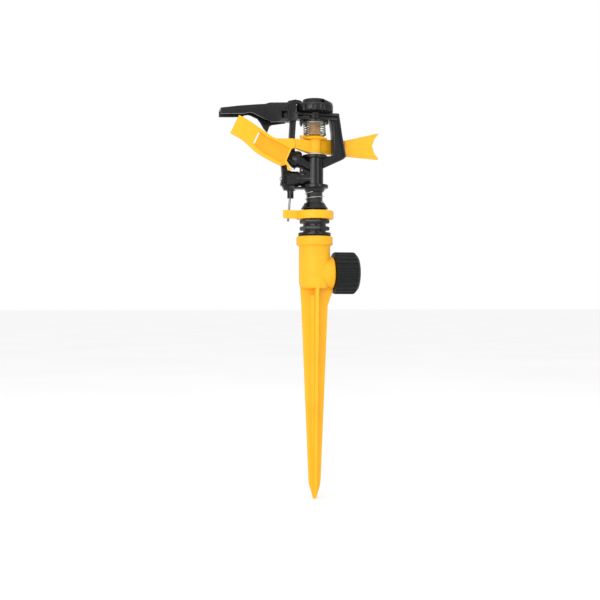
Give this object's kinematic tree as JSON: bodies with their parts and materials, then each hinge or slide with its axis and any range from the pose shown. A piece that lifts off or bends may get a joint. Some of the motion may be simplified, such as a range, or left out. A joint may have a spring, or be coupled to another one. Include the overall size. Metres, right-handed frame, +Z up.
{
  "type": "impact sprinkler",
  "caption": "Impact sprinkler on a ground spike: a turning head with a sprung swing arm, stream deflector, trip lever and trip rings, fed by a swivel hose nut.",
  "frame": {"origin": "on the head's turning axis, at ground level when the spike is pushed in", "axes": "+Z up along the turning axis; +X along the hose inlet, outward; the jet leaves towards -X and up"},
  "size_m": [0.1341, 0.0395, 0.3269],
  "materials": {
    "yellow_plastic": "moulded, satin",
    "black_plastic": "moulded, satin",
    "white_plastic": "moulded, matte",
    "rubber": "matte",
    "steel": "drawn wire"
  },
  "bodies": {
    "base": {"spike": "yellow_plastic", "nipple_gasket": "rubber", "bearing_nipple": "black_plastic", "dust_cap": "black_plastic", "stem_spring": "steel"},
    "hose_nut": {"inlet_nut": "black_plastic", "inlet_washer": "rubber", "inlet_filter": "white_plastic"},
    "lower_ring": {"lower_trip_ring": "yellow_plastic"},
    "upper_ring": {"upper_trip_ring": "yellow_plastic"},
    "head": {"head_body": "black_plastic", "stem": "black_plastic", "stem_washer": "white_plastic", "stem_seal": "rubber", "nozzle": "black_plastic", "stream_straightener": "white_plastic", "arm_pin": "steel", "arm_washer": "white_plastic", "arm_spring": "steel", "trip_pivot_pin": "steel", "trip_spring": "steel"},
    "swing_arm": {"arm": "yellow_plastic"},
    "knob": {"tension_cap": "black_plastic", "spring_seat": "black_plastic"},
    "flap": {"deflector": "black_plastic", "deflector_pin": "black_plastic"},
    "lever": {"trip_lever": "black_plastic", "trip_wire": "steel"}
  },
  "joints": [
    {"name": "nut_spin", "type": "hinge", "parent": "base", "child": "hose_nut", "pos_m": [0.025, 0, 0.0262], "axis": [1, 0, 0], "continuous": true},
    {"name": "head_spin", "type": "hinge", "parent": "base", "child": "head", "pos_m": [0, 0, 0.075], "axis": [0, 0, 1], "range_deg": [-98, 0]},
    {"name": "lower_ring_turn", "type": "hinge", "parent": "base", "child": "lower_ring", "pos_m": [0, 0, 0.0727], "axis": [0, 0, 1], "range_deg": [0, 90]},
    {"name": "upper_ring_turn", "type": "hinge", "parent": "base", "child": "upper_ring", "pos_m": [0, 0, 0.0765], "axis": [0, 0, 1], "range_deg": [-95, 0]},
    {"name": "arm_swing", "type": "hinge", "parent": "head", "child": "swing_arm", "pos_m": [0, 0, 0.13], "axis": [0, 0, 1], "range_deg": [0, 125], "stiffness_Nm_per_rad": 0.003, "springref_deg": -34.38, "deforming": ["arm_spring"]},
    {"name": "knob_turn", "type": "hinge", "parent": "head", "child": "knob", "pos_m": [0, 0, 0.155], "axis": [0, 0, 1], "range_deg": [-40, 40]},
    {"name": "deflector_tilt", "type": "hinge", "parent": "head", "child": "flap", "pos_m": [-0.0256, 0, 0.1536], "axis": [0, -1, 0], "range_deg": [0, 12]},
    {"name": "trip_tilt", "type": "hinge", "parent": "head", "child": "lever", "pos_m": [-0.018, 0, 0.1028], "axis": [1, 0, 0], "range_deg": [0, 14]}
  ]
}
